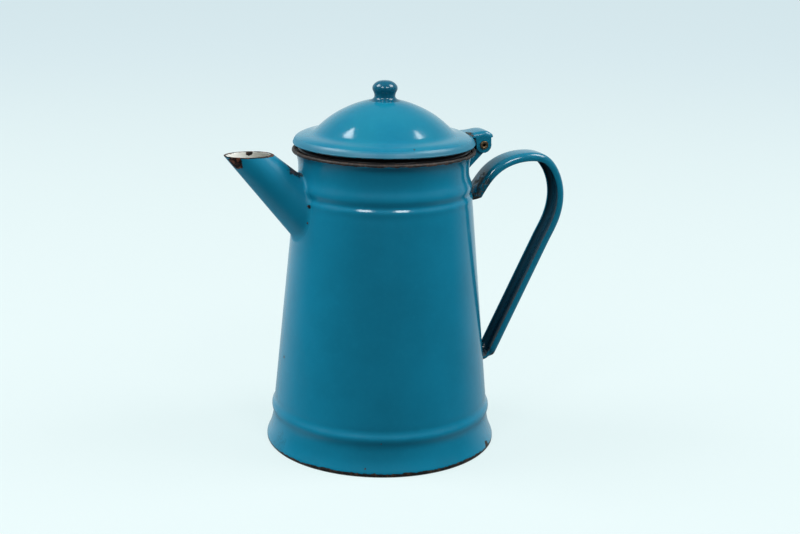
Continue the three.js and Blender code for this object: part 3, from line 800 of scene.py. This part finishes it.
def whiten_under_spout(obj):
    """The ledge of wall inside the spout is white, as the spout is within."""
    white = list(obj.data.materials).index(white_enamel)
    for face in obj.data.polygons:
        centre = np.array(face.center) / MM
        reach = centre - SPOUT_ROOT
        wide, high = spout_halves(reach @ SPOUT_OUT, SHEET / 2)
        if centre[0] < 0 and (centre[1] / wide) ** 2 + (reach @ SPOUT_UP / high) ** 2 < 1:
            face.material_index = white


pot_wall = turned(
    "pot_wall_shell",
    [(POT_OUTSIDE, pot_enamel), (POT_RIM, pot_enamel), (POT_INSIDE, white_enamel)],
)
cut(pot_wall, spout_cutter(POUR_HOLE_INSET))
whiten_under_spout(pot_wall)
fit(pot_wall, "pot", "blue_enamel", "pot_wall")

PAN_RADIUS = span("bottom_pan")[1].y
PAN_TOP = span("bottom_pan")[1].z
pan_outside = rounded([(0, 0, 0), (PAN_RADIUS, 0, 2.2), (PAN_RADIUS, PAN_TOP, 0)], 8)
pan_inside = rounded(
    [
        (PAN_RADIUS, PAN_TOP, 0),
        (PAN_RADIUS - SHEET, PAN_TOP, 0.3),
        (PAN_RADIUS - SHEET, SHEET, 2.4),
        (0, SHEET, 0),
    ],
    8,
)
pan = turned("bottom_pan_shell", [(pan_outside, pan_enamel), (pan_inside, white_enamel)])
fit(pan, "pot", "blue_enamel", "bottom_pan")

fit(spout(), "pot", "blue_enamel", "spout")


# ---- Handle ----


STRAP_WIDTH, STRAP_DEPTH, STRAP_CORNER, STRAP_CROWN = 18, 4.4, 3.4, 0.45
FOLD = (74.3, 48.1)


def channel(width, depth, corner, crown):
    """Section of a strap bent into a channel: its outer line, then back along its inner one."""
    half = width / 2
    corner = min(corner, depth - 0.25)
    side = [[-half, depth - (depth - corner) * t] for t in np.linspace(0, 1, 4)]
    bend = arc((-half + corner, corner), corner, 180, 270, 8)[1:]
    face = [[x, 0.0] for x in np.linspace(-half + corner, half - corner, 17)[1:-1]]
    outer = np.array(side + bend.tolist() + face)
    outer = np.vstack([outer, outer[: 12][::-1] * [-1, 1]])
    outer[:, 1] += crown * np.clip(np.abs(outer[:, 0]) / half, 0, 1) ** 2
    inner = offset(outer, SHEET)[::-1]
    tip = [(outer[-1] + inner[0]) / 2 + [0, 0.35 * SHEET]]
    last_tip = [(outer[0] + inner[-1]) / 2 + [0, 0.35 * SHEET]]
    return np.vstack([outer, tip, inner, last_tip])


def eased(share, start, end):
    """0 before start, 1 after end and smooth between."""
    t = min(1.0, max(0.0, (share - start) / (end - start)))
    return t * t * (3 - 2 * t)


def handle():
    """A bent channel whose foot is folded flat against the wall."""
    bend = smooth_line(
        [
            [53.8, 150.4], [59.9, 160.9], [69.2, 171.8], [80.2, 177.7], [92.4, 179.8],
            [104.9, 177.5], [114.0, 167.3], [118.12, 151.0], [115.8, 136.2], [109.7, 122.9],
        ],
        1.1,
    )
    foot = rounded([(*bend[-1], 0), (*FOLD, 3.0), (64.0, 45.2, 0)], 10)
    path = joined(bend, straight(foot[0], foot[1], 1.4), foot[1:-1], straight(foot[-2], foot[-1], 0.8))
    steps = np.concatenate([[0], np.cumsum(np.linalg.norm(np.diff(path, axis=0), axis=1))])
    share_of = steps / steps[-1]
    folded = float(np.interp(FOLD[0], path[::-1, 0][:40], share_of[::-1][:40]))

    def section(index_share):
        share = share_of[round(index_share * (len(path) - 1))]
        flat = eased(share, folded - 0.014, folded - 0.002)
        depth = STRAP_DEPTH - 2.9 * eased(share, folded + 0.012, folded + 0.03)
        return channel(STRAP_WIDTH - 1.6 * flat, depth, STRAP_CORNER, STRAP_CROWN * (1 - flat))

    outer_count = len(channel(STRAP_WIDTH, STRAP_DEPTH, STRAP_CORNER, STRAP_CROWN)) // 2
    inside = (outer_count, 2 * outer_count - 1)
    # The channel's inner faces take the second finish, which is painted shade.
    strap = swept("handle_channel", path, section, [handle_enamel, handle_inside_painted_shade], inside)
    below_root = [(45, 148.5), (64, 154), (64, 134), (45, 134)]
    cut(strap, prism("cutter", below_root, 24, handle_enamel))
    for vertex in strap.data.vertices:
        x, y, z = np.array(vertex.co) / MM
        least = wall_radius(z) - 0.6
        if math.hypot(x, y) < least:
            grow = least / math.hypot(x, y)
            vertex.co.x *= grow
            vertex.co.y *= grow
    return strap


fit(handle(), "pot", "blue_enamel", "handle_strap")


# ---- Lid ----

LID_DROPS = [
    (0, 0), (10, 0.95), (21.3, 4.7), (32.9, 11.2), (40.0, 17.1), (43.2, 19.5), (46.2, 20.4),
    (49.6, 21.1), (52.2, 22.1), (54.2, 23.7), (55.2, 25.8),
]
LID_DOME = crowned([[radius, LID_CROWN - drop] for radius, drop in LID_DROPS], 0.5)
LID_EDGE_CENTRE, LID_EDGE_RADIUS = (54.05, 188.9), 1.3
LID_EDGE = arc(LID_EDGE_CENTRE, LID_EDGE_RADIUS, -5, -150, 14)
lid_inside = offset(LID_DOME, -LID_SHEET)[::-1]
lid_inside = lid_inside[lid_inside[:, 0] < 53.5]
lid_inside[-1] = [0, LID_CROWN - LID_SHEET]
lid_shell = turned(
    "lid_dome", [(LID_DOME, lid_enamel), (LID_EDGE, lid_enamel), (lid_inside, lid_white)]
)
fit(lid_shell, "lid", "blue_enamel", "lid_shell")

KNOB_DROPS = [
    (0, 0), (2.4, 0.15), (4.7, 0.85), (6.6, 2.3), (7.6, 4.1), (7.45, 5.8), (6.75, 7.3), (6.35, 8.8),
    (6.5, 10.1), (7.5, 11.2), (9.4, 12.0), (11.6, 12.55),
]
KNOB_LINE = crowned([[radius, KNOB_TOP - drop] for radius, drop in KNOB_DROPS], 0.3)
in_the_sheet = offset(LID_DOME, -LID_SHEET / 2)
knob_base = in_the_sheet[in_the_sheet[:, 0] < KNOB_LINE[-1][0]][::-1]
knob_base[-1] = [0, LID_CROWN - LID_SHEET / 2]
knob = turned("knob", [(KNOB_LINE, knob_enamel), (knob_base, knob_enamel)], KNOB_FACETS)
fit(knob, "lid", "blue_enamel", "lid_knob")

COLLAR_BOTTOM, COLLAR_TOP = span("lid_collar")[0].z, span("lid_collar")[1].z
COLLAR_BEAD = span("lid_collar")[1].y
COLLAR_RADIUS = 50.3
collar_outside = rounded(
    [
        (COLLAR_RADIUS, COLLAR_TOP, 0),
        (COLLAR_RADIUS, 187.2, 1.2),
        (COLLAR_BEAD - 0.1, 184.9, 1.0),
        (COLLAR_RADIUS, 182.6, 1.2),
        (COLLAR_RADIUS, COLLAR_BOTTOM, 0),
    ]
)
# The collar is near-black as painted shade, so that the gap between the lid and the rim looks
# shadowed.
collar = turned(
    "lid_collar_ring",
    [(collar_outside, collar_shade_black), (offset(collar_outside, -LID_SHEET)[::-1], collar_shade_black)],
)
fit(collar, "lid", "dark_enamel", "lid_collar")


# ---- Lid hinge ----

TAB_WIDTH = 18.0
EAR_RADIUS = 5.0
PIN_HOLE = 1.85
pin_x, pin_z = PIN


def pin_hole():
    return rods("cutter", [((pin_x, -12, pin_z), (pin_x, 12, pin_z))], PIN_HOLE, 48)


def lid_tab():
    """A strap across the lid's edge whose sides come down as two round ears."""
    line = [[50.0, 193.4], [54.0, 193.6], [58.0, 194.2], [61.5, 194.6], [64.9, 194.1], [67.5, 192.5]]
    section = channel(TAB_WIDTH - 0.1, 15, 2.6, 0.35)
    top = smooth_line(line, 0.5)
    tab = swept("lid_tab", top, lambda share: section, [hinge_enamel], plumb=True)
    side = joined(
        [[46, 199], [68.4, 199], [68.4, 190.6], [pin_x + 4.7, pin_z + 4.6]],
        arc(PIN, EAR_RADIUS, 12, -190, 40),
        [[pin_x - EAR_RADIUS - 0.6, pin_z + 4.4], [46, pin_z + 4.4]],
    )
    combined(tab, prism("side", side, 30), "INTERSECT")
    cut(tab, pin_hole())
    under = [[54.9, 187.4], [0, 187.4]]
    lid_solid = [(offset(LID_DOME, -0.25), None), (under, None)]
    cut(tab, turned("cutter", lid_solid, CUTTER_FACETS))
    return softened(tab, 0.24, 5, hinge_enamel)


def bracket():
    """The pot's half of the hinge: a hollow gusset that ends in a knuckle round the pin."""
    width = span("hinge_bracket")[1].y * 2
    knuckle = 3.8
    tip_x, tip_z = 52.4, 171.2
    reach = math.hypot(pin_x - tip_x, pin_z - tip_z)
    slope = math.atan2(pin_z - tip_z, pin_x - tip_x) - math.asin(knuckle / reach)

    def side(inset):
        shift = inset * math.sqrt(2)
        return joined(
            [[tip_x - 4, tip_z + shift - 4 * math.tan(slope)]],
            arc(PIN, knuckle - inset, math.degrees(slope) - 90, 200, 32),
            [[pin_x - 4.3, pin_z - 3.4 + inset], [tip_x - 4, pin_z - 4.6 + inset]],
        )

    body = prism("bracket", side(0), width)
    cut(body, prism("cutter", side(SHEET), width - 2 * SHEET))
    cut(body, pin_hole())
    inside = np.vstack([POT_NECK + [-0.25, 0], [[55.2, POT_TOP - RIM_ROLL], [0, POT_TOP]], [[0, 150]]])
    cut(body, turned("cutter", [(inside, None)], CUTTER_FACETS))
    return softened(body, 0.26, 4, hinge_enamel)


def rivet():
    """Tubular rivet with a rolled head at each end."""
    high = span("hinge_pin")[1].y
    head = high - 0.6
    half = rounded(
        [
            (1.5, 0, 0),
            (1.5, head, 0.1),
            (2.55, head, 0.25),
            (2.5, high - 0.1, 0.3),
            (1.6, high, 0.5),
            (0.95, high - 0.35, 0.3),
            (0.9, 0, 0),
        ],
        5,
    )
    outline = joined(half, half[::-1] * [1, -1])
    made = turned("hinge_rivet", [(outline, brass)], 64)
    place = Matrix.Translation((pin_x * MM, 0, pin_z * MM)) @ Matrix.Rotation(math.pi / 2, 4, "X")
    made.data.transform(place)
    return made


fit(lid_tab(), "lid", "blue_enamel", "lid_hinge_tab")
fit(bracket(), "pot", "blue_enamel", "hinge_bracket")
fit(rivet(), "pot", "brass", "hinge_pin")


# ---- Pump, valve, basket and spreader ----

TUBE_RADIUS = span("pump_tube")[1].y
BELL_RADIUS = span("pump_base")[1].y
BASKET_RADIUS = span("basket")[1].y
SPREADER_RADIUS = span("spreader")[1].y
GAP = 0.3


def shell(outline, thickness):
    """Closed outline of a sheet piece with rolled-over ends."""
    back = offset(outline, thickness)
    ends = [(outline[-1] + back[-1]) / 2, (outline[0] + back[0]) / 2]
    along = [outline[-1] - outline[-2], outline[0] - outline[1]]
    tips = [e + a / np.linalg.norm(a) * thickness * 0.3 for e, a in zip(ends, along)]
    pulled = [outline[:-1], [tips[0]], back[::-1][1:], [tips[1]]]
    return joined(*pulled)


def holes(circles, radius, bottom, top):
    """A cutter for circles of holes, each given as its radius and its number of holes."""
    spans = []
    for ring, count in circles:
        for i in range(count):
            angle = 2 * math.pi * i / count
            x, y = ring * math.cos(angle), ring * math.sin(angle)
            spans.append(((x, y, bottom), (x, y, top)))
    return rods("cutter", spans, radius, 12)


def bell():
    """The pump's foot, with four notches that let the water in."""
    hub = TUBE_RADIUS + GAP + PUMP_SHEET
    top = span("pump_base")[1].z
    line = rounded(
        [
            (BELL_RADIUS - 0.05, BELL_BOTTOM + 0.2, 0),
            (BELL_RADIUS - 0.6, BELL_BOTTOM + 4, 2),
            (BELL_RADIUS - 4, BELL_BOTTOM + 7.7, 3),
            (28, BELL_BOTTOM + 12.1, 20),
            (hub + 4, BELL_BOTTOM + 17.1, 5),
            (hub, BELL_BOTTOM + 19.5, 2),
            (hub, top - 0.2, 0),
        ]
    )
    made = turned("pump_bell", [(shell(line, PUMP_SHEET), aluminium)], INSERT_FACETS)
    notches = []
    for i in range(4):
        angle = math.pi / 4 * (2 * i + 1)
        out = np.array([math.cos(angle), math.sin(angle), 0])
        centre = out * BELL_RADIUS + [0, 0, BELL_BOTTOM]
        notches.append((centre - 10 * out, centre + 10 * out))
    return cut(made, rods("cutter", notches, 3.2, 32))


def sleeve_line(outer, inner, bottom, top, corner):
    return rounded(
        [
            (inner, (bottom + top) / 2, 0),
            (inner, bottom, corner),
            (outer, bottom, corner),
            (outer, top, corner),
            (inner, top, corner),
            (inner, (bottom + top) / 2, 0),
        ],
        4,
    )


fit(bell(), "pump", "aluminium", "pump_base")
tube_line = sleeve_line(TUBE_RADIUS, TUBE_RADIUS - 1, TUBE_BOTTOM, TUBE_TOP, 0.4)
fit(turned("pump_riser", [(tube_line, aluminium)], SMALL_FACETS), "pump", "aluminium", "pump_tube")
ring_line = sleeve_line(span("stop_ring")[1].y, TUBE_RADIUS + GAP, RING_BOTTOM, RING_TOP, 0.6)
fit(turned("basket_stop", [(ring_line, aluminium)], SMALL_FACETS), "pump", "aluminium", "stop_ring")

CAGE_RADIUS = span("valve_cage")[1].y
CAGE_BORE = 2.6
cage_line = rounded(
    [
        (CAGE_BORE, CAGE_BOTTOM + 0.5, 0),
        (CAGE_BORE, CAGE_BOTTOM, 0.2),
        (CAGE_RADIUS, CAGE_BOTTOM, 1.2),
        (CAGE_RADIUS, CAGE_TOP, 0.2),
        (CAGE_RADIUS - PUMP_SHEET, CAGE_TOP, 0.2),
        (CAGE_RADIUS - PUMP_SHEET, CAGE_BOTTOM + 1, 0.4),
        (CAGE_BORE, CAGE_BOTTOM + 1, 0.2),
        (CAGE_BORE, CAGE_BOTTOM + 0.5, 0),
    ],
    5,
)
fit(turned("valve_cup", [(cage_line, aluminium)], SMALL_FACETS), "pump", "aluminium", "valve_cage")

valve_radius = span("pump_valve")[1].y
valve_line = rounded(
    [
        (0, VALVE_BOTTOM, 0),
        (valve_radius, VALVE_BOTTOM, 0.2),
        (valve_radius, VALVE_TOP, 0.3),
        (0, VALVE_TOP, 0),
    ],
    4,
)
fit(turned("valve_disc", [(valve_line, steel)], SMALL_FACETS), "valve", "steel", "pump_valve")


def basket():
    bore = TUBE_RADIUS + 1.6
    line = rounded(
        [
            (bore, BASKET_FLOOR + 0.02, 0),
            (BASKET_RADIUS - 0.9, BASKET_FLOOR + 0.02, 2.6),
            (BASKET_RADIUS - 0.4, BASKET_TOP - 5, 0),
            (BASKET_RADIUS - 0.05, BASKET_TOP - 3.6, 0.8),
            (BASKET_RADIUS - 0.05, BASKET_TOP - 0.1, 0.3),
        ],
        6,
    )
    made = turned("basket_cup", [(shell(line, PUMP_SHEET), aluminium)], INSERT_FACETS)
    circles = [(14, 12), (20, 18), (26, 24), (32, 30)]
    return cut(made, holes(circles, 1.0, BASKET_FLOOR - 2, BASKET_FLOOR + 3))


def spreader():
    dish = BASKET_TOP + 0.3
    line = rounded(
        [
            (SPREADER_RADIUS - 0.05, SPREADER_BOTTOM + 0.1, 0),
            (SPREADER_RADIUS - 0.05, BASKET_TOP + 1.2, 1.0),
            (BASKET_RADIUS - 3, BASKET_TOP + 1.2, 1.5),
            (BASKET_RADIUS - 6, dish, 1.5),
            (9.2, dish, 0),
        ],
        6,
    )
    made = turned("spreader_plate", [(shell(line, PUMP_SHEET), aluminium)], INSERT_FACETS)
    circles = [(13.5, 12), (18, 18), (23, 24), (28, 30), (32.5, 36)]
    return cut(made, holes(circles, 0.9, BASKET_TOP - 3, BASKET_TOP + 4))


def spreader_collar():
    """The flange rests on the cover, whose sheet is turned up into it."""
    low, high = span("spreader_collar")
    bore = 7.2
    neck = bore + PUMP_SHEET
    line = rounded(
        [
            (high.y, low.z - 0.25, 0),
            (high.y, low.z + PUMP_SHEET - 0.1, 0.35),
            (neck, low.z + PUMP_SHEET - 0.1, 1.4),
            (neck, high.z, 0.35),
            (bore, high.z, 0.35),
            (bore, low.z - 0.25, 0.4),
            (high.y, low.z - 0.25, 0),
        ],
        5,
    )
    return turned("spreader_guide", [(line, aluminium)], SMALL_FACETS)


fit(basket(), "basket", "aluminium", "basket")
sleeve = rounded(
    [
        (TUBE_RADIUS + GAP, SLEEVE_BOTTOM + 1, 0),
        (TUBE_RADIUS + GAP, SLEEVE_BOTTOM, 0.3),
        (10, SLEEVE_BOTTOM, 0.4),
        (10, BASKET_FLOOR - GAP, 0.3),
        (TUBE_RADIUS + 1.3, BASKET_FLOOR - GAP, 0.2),
        (TUBE_RADIUS + 1.3, SLEEVE_TOP, 0.3),
        (TUBE_RADIUS + GAP, SLEEVE_TOP, 0.2),
        (TUBE_RADIUS + GAP, SLEEVE_BOTTOM + 1, 0),
    ],
    5,
)
fit(turned("basket_tube", [(sleeve, aluminium)], SMALL_FACETS), "basket", "aluminium", "basket_sleeve")
fit(spreader(), "spreader", "aluminium", "spreader")
fit(spreader_collar(), "spreader", "aluminium", "spreader_collar")


# ---- Camera, floor and light ----

TURN = math.radians(17)  # the camera stands this far round from -Y towards -X
DISTANCE, HEIGHT = 800.5, 327.5
PITCH, PAN, ROLL = math.radians(15.19), math.radians(0.79), math.radians(1.08)
LENS = 60
LIGHT_AIM = Vector((0, 0, 0.1))
PAPER_BASE = (0.12, 0.12, 0.12, 1)
PAPER_GLOW_NEAR, PAPER_GLOW_FAR = (0.64, 0.765, 0.77), (0.63, 0.76, 0.80)
PAPER_CURVE = [(6000, 0), (6600, 250), (7000, 900), (7200, 3500)]


def from_camera_side(x, y, z):
    """A direction or place given with the camera standing on -Y, in the row frame."""
    c, s = math.cos(TURN), math.sin(TURN)
    return Vector((x * c + y * s, -x * s + y * c, z))


def add_camera():
    lens = bpy.data.cameras.new("camera")
    lens.sensor_width = 36
    lens.lens = LENS
    lens.clip_start, lens.clip_end = 0.05, 50
    camera = bpy.data.objects.new("camera", lens)
    forward = from_camera_side(
        math.sin(PAN) * math.cos(PITCH), math.cos(PAN) * math.cos(PITCH), -math.sin(PITCH)
    )
    level = from_camera_side(math.cos(PAN), -math.sin(PAN), 0)
    upright = from_camera_side(
        math.sin(PAN) * math.sin(PITCH), math.cos(PAN) * math.sin(PITCH), math.cos(PITCH)
    )
    right = level * math.cos(ROLL) + upright * math.sin(ROLL)
    up = upright * math.cos(ROLL) - level * math.sin(ROLL)
    turn = Matrix((right, up, -forward)).transposed().to_4x4()
    camera.matrix_world = Matrix.Translation(from_camera_side(0, -DISTANCE, HEIGHT) * MM) @ turn
    bpy.context.scene.collection.objects.link(camera)
    bpy.context.scene.camera = camera


def add_light(name, side, rise, distance, wide, high, radiance, mirrored):
    """A soft panel side degrees to the right of the camera's side and rise degrees up. It is
    distance metres away, and wide and high are the degrees it fills as seen from the pot."""
    side, rise = math.radians(side), math.radians(rise)
    level = math.cos(rise)
    aim = from_camera_side(math.sin(side) * level, -math.cos(side) * level, math.sin(rise))
    panel = bpy.data.lights.new(name, "AREA")
    panel.shape = "RECTANGLE"
    panel.size = 2 * distance * math.tan(math.radians(wide) / 2)
    panel.size_y = 2 * distance * math.tan(math.radians(high) / 2)
    panel.energy = radiance * math.pi * panel.size * panel.size_y
    obj = bpy.data.objects.new(name, panel)
    obj.location = aim * distance + LIGHT_AIM
    obj.rotation_mode = "QUATERNION"
    obj.rotation_quaternion = aim.to_track_quat("Z", "Y")
    obj.visible_camera = False
    obj.visible_glossy = mirrored
    bpy.context.scene.collection.objects.link(obj)


def add_floor():
    """Pale paper that glows a little and curves up far away, so that it fills the view from every
    side. It is left out of reflections, bounced light and shadow rays, which meet the room."""
    around = 128
    angles = np.linspace(0, 2 * math.pi, around, endpoint=False)
    points = [(r * math.cos(a), r * math.sin(a), z) for r, z in PAPER_CURVE for a in angles]
    faces = [tuple(range(around))]
    for ring in range(len(PAPER_CURVE) - 1):
        for i in range(around):
            a, b = ring * around + i, ring * around + (i + 1) % around
            faces.append((a, b, b + around, a + around))
    f = Finish("floor_paper")
    far = f.ramp(f.vector("LENGTH", f.place), 250.0, 2600.0)
    f.shader.inputs["Base Color"].default_value = PAPER_BASE
    f.feed(f.shader.inputs["Emission Color"], f.mix(far, PAPER_GLOW_NEAR, PAPER_GLOW_FAR))
    f.shader.inputs["Emission Strength"].default_value = 1
    f.rough(0.9)
    f.shader.inputs["Specular IOR Level"].default_value = 0
    floor = mesh_piece("floor", points, faces, [f.material])
    floor.visible_glossy = False
    floor.visible_diffuse = False
    floor.visible_shadow = False


ROOM_DIM = (0.045, 0.060, 0.068)
ROOM_PALE = (0.62, 0.74, 0.77)
ROOM_ABOVE = (0.20, 0.25, 0.27)
ROOM_BELOW = (0.20, 0.25, 0.27)


def add_surroundings():
    """A room that is dim on the camera's side, pale behind the pot, and grey above and below."""
    world = bpy.data.worlds.new("surroundings")
    world.use_nodes = True
    tree = world.node_tree

    def node(kind, **settings):
        made = tree.nodes.new(kind)
        for key, value in settings.items():
            setattr(made, key, value)
        return made

    def share(vector, low, high):
        facing = node("ShaderNodeVectorMath", operation="DOT_PRODUCT")
        tree.links.new(node("ShaderNodeTexCoord").outputs["Generated"], facing.inputs[0])
        facing.inputs[1].default_value = vector
        ramp = node("ShaderNodeMapRange", interpolation_type="SMOOTHSTEP")
        tree.links.new(facing.outputs["Value"], ramp.inputs[0])
        ramp.inputs[1].default_value, ramp.inputs[2].default_value = low, high
        return ramp.outputs[0]

    def mixed(amount, a, b):
        made = node("ShaderNodeMix", data_type="RGBA")
        tree.links.new(amount, made.inputs[0])
        if isinstance(a, tuple):
            made.inputs[6].default_value = (*a, 1)
        else:
            tree.links.new(a, made.inputs[6])
        made.inputs[7].default_value = (*b, 1)
        return made.outputs[2]

    colour = mixed(share(from_camera_side(0, 1, 0), 0.0, 0.95), ROOM_DIM, ROOM_PALE)
    colour = mixed(share((0, 0, 1), 0.2, 0.75), colour, ROOM_ABOVE)
    beside = share(from_camera_side(0, 1, 0), -0.6, 0.0)
    below = node("ShaderNodeMath", operation="MULTIPLY")
    tree.links.new(share((0, 0, -1), 0.15, 0.5), below.inputs[0])
    tree.links.new(beside, below.inputs[1])
    colour = mixed(below.outputs[0], colour, ROOM_BELOW)
    tree.links.new(colour, tree.nodes["Background"].inputs["Color"])
    tree.nodes["Background"].inputs["Strength"].default_value = 1
    bpy.context.scene.world = world


# Each light's name, its side, rise and distance, how wide and high it is, its radiance, and whether
# the object mirrors it.
LIGHTS = [
    ("front_left_panel", -28, 45, 1.8, 14, 14, 13, True),
    ("front_right_panel", 28, 45, 1.8, 14, 14, 13, True),
    ("side_left_panel", -95, 52, 1.8, 24, 22, 9, True),
    ("side_right_panel", 92, 52, 1.8, 24, 22, 9, True),
    ("side_left_fill", -85, 28, 1.8, 50, 34, 3.2, False),
    ("side_right_fill", 85, 28, 1.8, 50, 34, 2.9, False),
    ("front_fill", 0, 20, 1.8, 60, 40, 0.45, False),
    ("bounce_left", -110, -40, 1.0, 50, 50, 2.4, False),
    ("bounce_right", 110, -40, 1.0, 50, 50, 0.6, False),
]

add_camera()
add_floor()
add_surroundings()
for light in LIGHTS:
    add_light(*light)
bpy.context.scene.view_settings.view_transform = "Standard"
